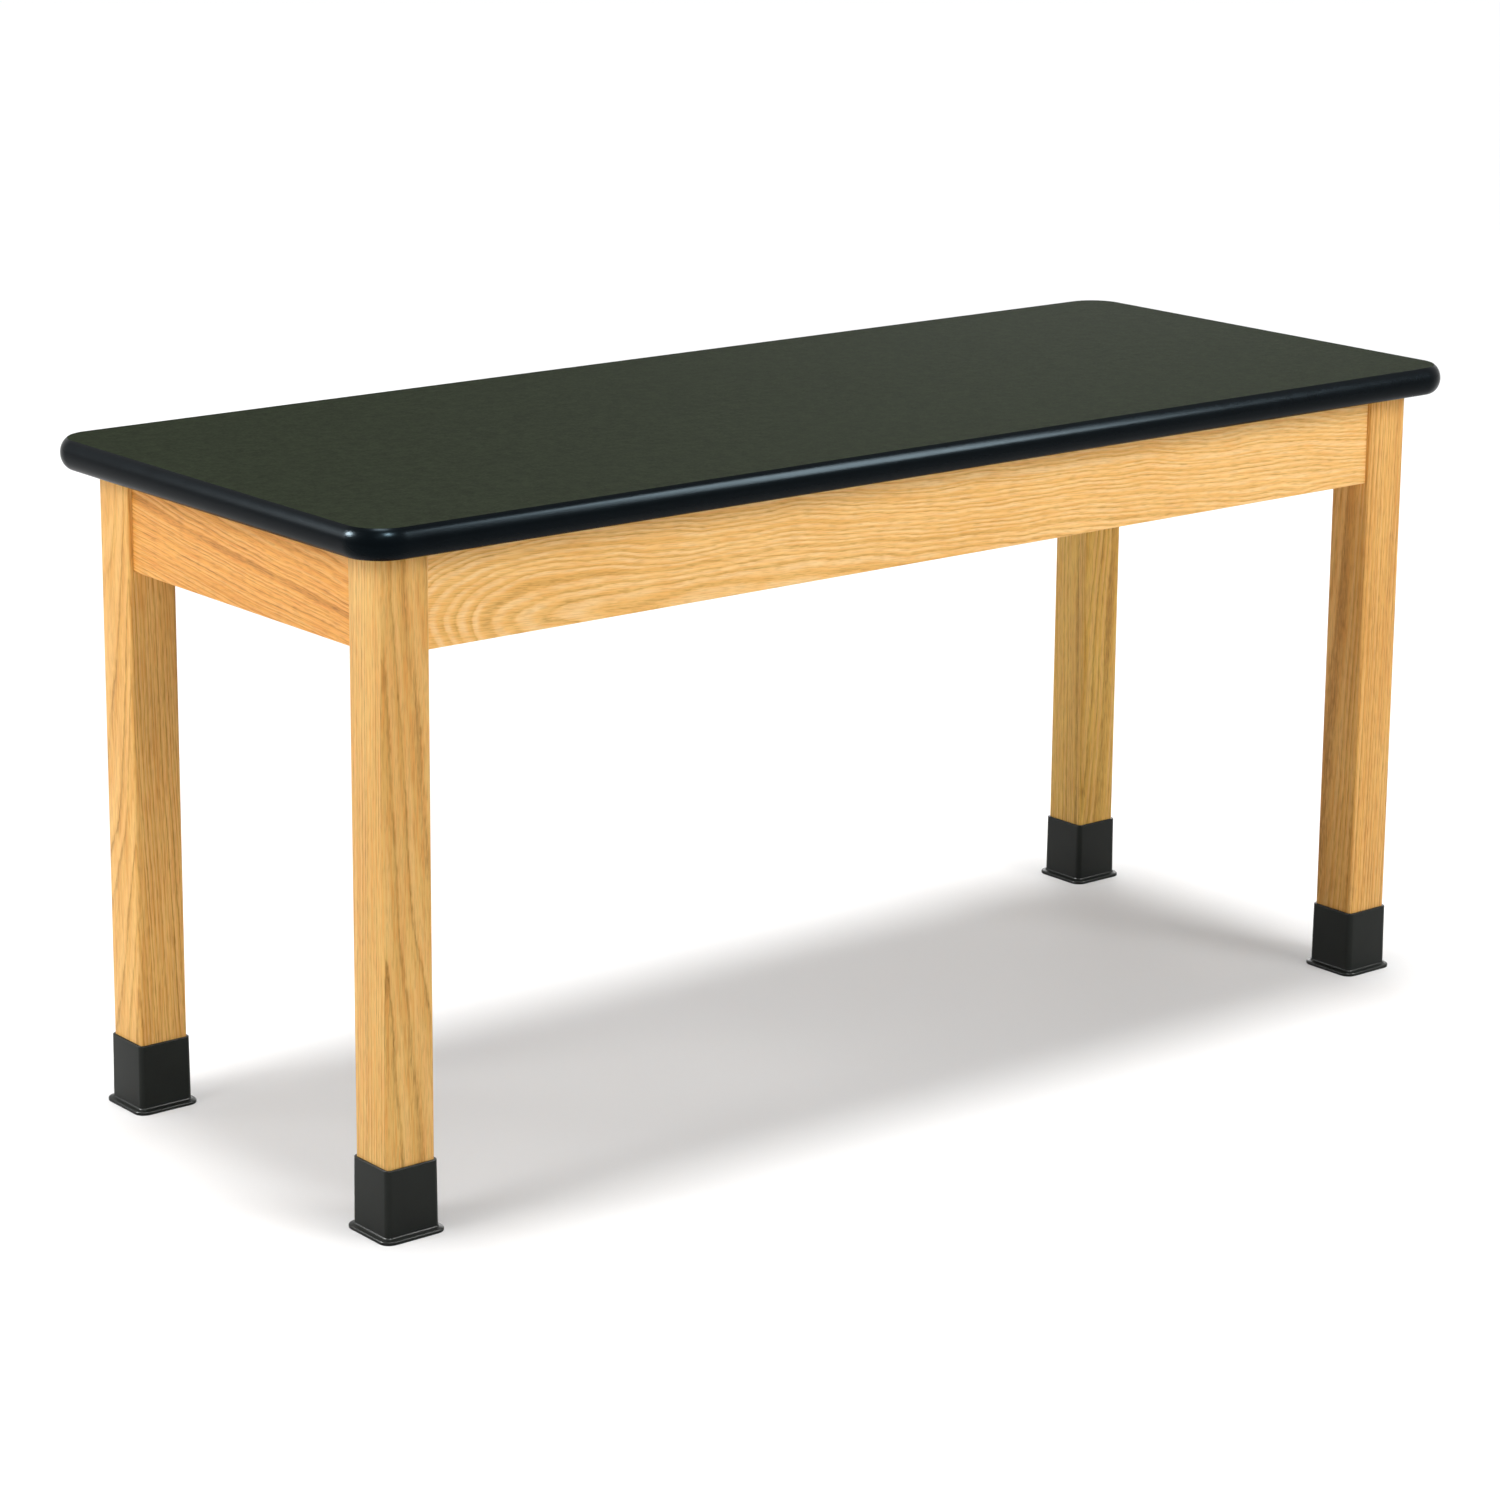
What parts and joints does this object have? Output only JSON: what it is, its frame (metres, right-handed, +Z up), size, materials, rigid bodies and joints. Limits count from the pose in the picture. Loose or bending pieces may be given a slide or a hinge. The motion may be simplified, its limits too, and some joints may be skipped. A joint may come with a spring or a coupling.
{
  "type": "science lab table",
  "caption": "Rectangular lab table: black laminate top with a rounded edge on an oak leg and apron frame, levelling glides inside slip-on leg shoes.",
  "frame": {"origin": "on the floor under the middle of the top", "axes": "+X along the table to the right seen from the front, +Y from the front to the back, +Z up"},
  "size_m": [1.524, 0.6096, 0.7366],
  "materials": {
    "top_laminate": "matte black high pressure laminate, faintly green grey",
    "top_core": "raw particleboard",
    "top_backer": "plain brown backing sheet",
    "edge_moulding": "glossy black vinyl bullnose",
    "front_apron": "clear satin lacquer on solid oak",
    "rear_apron": "clear satin lacquer on solid oak",
    "left_apron": "clear satin lacquer on solid oak",
    "right_apron": "clear satin lacquer on solid oak",
    "centre_rail": "clear satin lacquer on solid oak",
    "top_clip_front_a": "bright zinc plate",
    "top_clip_front_b": "bright zinc plate",
    "top_clip_right": "bright zinc plate",
    "top_clip_rear_a": "bright zinc plate",
    "top_clip_rear_b": "bright zinc plate",
    "top_clip_left": "bright zinc plate",
    "leg_front_left": "clear satin lacquer on solid oak",
    "bracket_front_left": "bright zinc plate",
    "threaded_insert_front_left": "turned brass",
    "hanger_bolt_front_left_lower": "bright zinc plate",
    "flange_nut_front_left_lower": "bright zinc plate",
    "hanger_bolt_front_left_upper": "bright zinc plate",
    "flange_nut_front_left_upper": "bright zinc plate",
    "leg_front_right": "clear satin lacquer on solid oak",
    "bracket_front_right": "bright zinc plate",
    "threaded_insert_front_right": "turned brass",
    "hanger_bolt_front_right_lower": "bright zinc plate",
    "flange_nut_front_right_lower": "bright zinc plate",
    "hanger_bolt_front_right_upper": "bright zinc plate",
    "flange_nut_front_right_upper": "bright zinc plate",
    "leg_rear_right": "clear satin lacquer on solid oak",
    "bracket_rear_right": "bright zinc plate",
    "threaded_insert_rear_right": "turned brass",
    "hanger_bolt_rear_right_lower": "bright zinc plate",
    "flange_nut_rear_right_lower": "bright zinc plate",
    "hanger_bolt_rear_right_upper": "bright zinc plate",
    "flange_nut_rear_right_upper": "bright zinc plate",
    "leg_rear_left": "clear satin lacquer on solid oak",
    "bracket_rear_left": "bright zinc plate",
    "threaded_insert_rear_left": "turned brass",
    "hanger_bolt_rear_left_lower": "bright zinc plate",
    "flange_nut_rear_left_lower": "bright zinc plate",
    "hanger_bolt_rear_left_upper": "bright zinc plate",
    "flange_nut_rear_left_upper": "bright zinc plate",
    "glide_pad_front_left": "black nylon",
    "glide_stud_front_left": "bright zinc plate",
    "leg_shoe_front_left": "satin black moulded rubber",
    "glide_pad_front_right": "black nylon",
    "glide_stud_front_right": "bright zinc plate",
    "leg_shoe_front_right": "satin black moulded rubber",
    "glide_pad_rear_right": "black nylon",
    "glide_stud_rear_right": "bright zinc plate",
    "leg_shoe_rear_right": "satin black moulded rubber",
    "glide_pad_rear_left": "black nylon",
    "glide_stud_rear_left": "bright zinc plate",
    "leg_shoe_rear_left": "satin black moulded rubber"
  },
  "bodies": {
    "table": {"top_core": "top_core", "top_laminate": "top_laminate", "top_backer": "top_backer", "edge_moulding": "edge_moulding", "front_apron": "front_apron", "rear_apron": "rear_apron", "left_apron": "left_apron", "right_apron": "right_apron", "centre_rail": "centre_rail", "top_clip_front_a": "top_clip_front_a", "top_clip_front_b": "top_clip_front_b", "top_clip_right": "top_clip_right", "top_clip_rear_a": "top_clip_rear_a", "top_clip_rear_b": "top_clip_rear_b", "top_clip_left": "top_clip_left", "leg_front_left": "leg_front_left", "bracket_front_left": "bracket_front_left", "threaded_insert_front_left": "threaded_insert_front_left", "hanger_bolt_front_left_lower": "hanger_bolt_front_left_lower", "flange_nut_front_left_lower": "flange_nut_front_left_lower", "hanger_bolt_front_left_upper": "hanger_bolt_front_left_upper", "flange_nut_front_left_upper": "flange_nut_front_left_upper", "leg_front_right": "leg_front_right", "bracket_front_right": "bracket_front_right", "threaded_insert_front_right": "threaded_insert_front_right", "hanger_bolt_front_right_lower": "hanger_bolt_front_right_lower", "flange_nut_front_right_lower": "flange_nut_front_right_lower", "hanger_bolt_front_right_upper": "hanger_bolt_front_right_upper", "flange_nut_front_right_upper": "flange_nut_front_right_upper", "leg_rear_right": "leg_rear_right", "bracket_rear_right": "bracket_rear_right", "threaded_insert_rear_right": "threaded_insert_rear_right", "hanger_bolt_rear_right_lower": "hanger_bolt_rear_right_lower", "flange_nut_rear_right_lower": "flange_nut_rear_right_lower", "hanger_bolt_rear_right_upper": "hanger_bolt_rear_right_upper", "flange_nut_rear_right_upper": "flange_nut_rear_right_upper", "leg_rear_left": "leg_rear_left", "bracket_rear_left": "bracket_rear_left", "threaded_insert_rear_left": "threaded_insert_rear_left", "hanger_bolt_rear_left_lower": "hanger_bolt_rear_left_lower", "flange_nut_rear_left_lower": "flange_nut_rear_left_lower", "hanger_bolt_rear_left_upper": "hanger_bolt_rear_left_upper", "flange_nut_rear_left_upper": "flange_nut_rear_left_upper"},
    "glide_pad_front_left": {"glide_pad_front_left": "glide_pad_front_left"},
    "glide_stud_front_left": {"glide_stud_front_left": "glide_stud_front_left"},
    "leg_shoe_front_left": {"leg_shoe_front_left": "leg_shoe_front_left"},
    "glide_pad_front_right": {"glide_pad_front_right": "glide_pad_front_right"},
    "glide_stud_front_right": {"glide_stud_front_right": "glide_stud_front_right"},
    "leg_shoe_front_right": {"leg_shoe_front_right": "leg_shoe_front_right"},
    "glide_pad_rear_right": {"glide_pad_rear_right": "glide_pad_rear_right"},
    "glide_stud_rear_right": {"glide_stud_rear_right": "glide_stud_rear_right"},
    "leg_shoe_rear_right": {"leg_shoe_rear_right": "leg_shoe_rear_right"},
    "glide_pad_rear_left": {"glide_pad_rear_left": "glide_pad_rear_left"},
    "glide_stud_rear_left": {"glide_stud_rear_left": "glide_stud_rear_left"},
    "leg_shoe_rear_left": {"leg_shoe_rear_left": "leg_shoe_rear_left"}
  },
  "joints": [
    {"name": "glide_drop_front_left", "type": "slide", "parent": "table", "child": "glide_pad_front_left", "axis": [0, 0, -1], "range_m": [0, 0.01905]},
    {"name": "stud_turn_front_left", "type": "hinge", "parent": "glide_pad_front_left", "child": "glide_stud_front_left", "pos_m": [-0.69215, -0.23494, 0.01], "axis": [0, 0, -1], "range_deg": [0, 4320]},
    {"name": "shoe_slide_front_left", "type": "slide", "parent": "table", "child": "leg_shoe_front_left", "axis": [0, 0, 1], "range_m": [-0.01905, 0.0762]},
    {"name": "glide_drop_front_right", "type": "slide", "parent": "table", "child": "glide_pad_front_right", "axis": [0, 0, -1], "range_m": [0, 0.01905]},
    {"name": "stud_turn_front_right", "type": "hinge", "parent": "glide_pad_front_right", "child": "glide_stud_front_right", "pos_m": [0.69215, -0.23494, 0.01], "axis": [0, 0, -1], "range_deg": [0, 4320]},
    {"name": "shoe_slide_front_right", "type": "slide", "parent": "table", "child": "leg_shoe_front_right", "axis": [0, 0, 1], "range_m": [-0.01905, 0.0762]},
    {"name": "glide_drop_rear_right", "type": "slide", "parent": "table", "child": "glide_pad_rear_right", "axis": [0, 0, -1], "range_m": [0, 0.01905]},
    {"name": "stud_turn_rear_right", "type": "hinge", "parent": "glide_pad_rear_right", "child": "glide_stud_rear_right", "pos_m": [0.69215, 0.23494, 0.01], "axis": [0, 0, -1], "range_deg": [0, 4320]},
    {"name": "shoe_slide_rear_right", "type": "slide", "parent": "table", "child": "leg_shoe_rear_right", "axis": [0, 0, 1], "range_m": [-0.01905, 0.0762]},
    {"name": "glide_drop_rear_left", "type": "slide", "parent": "table", "child": "glide_pad_rear_left", "axis": [0, 0, -1], "range_m": [0, 0.01905]},
    {"name": "stud_turn_rear_left", "type": "hinge", "parent": "glide_pad_rear_left", "child": "glide_stud_rear_left", "pos_m": [-0.69215, 0.23494, 0.01], "axis": [0, 0, -1], "range_deg": [0, 4320]},
    {"name": "shoe_slide_rear_left", "type": "slide", "parent": "table", "child": "leg_shoe_rear_left", "axis": [0, 0, 1], "range_m": [-0.01905, 0.0762]}
  ],
  "couplings": [
    {"joint": "stud_turn_front_left", "follows": "glide_drop_front_left", "rad_per_m": 3957.9},
    {"joint": "stud_turn_front_right", "follows": "glide_drop_front_right", "rad_per_m": 3957.9},
    {"joint": "stud_turn_rear_right", "follows": "glide_drop_rear_right", "rad_per_m": 3957.9},
    {"joint": "stud_turn_rear_left", "follows": "glide_drop_rear_left", "rad_per_m": 3957.9}
  ]
}
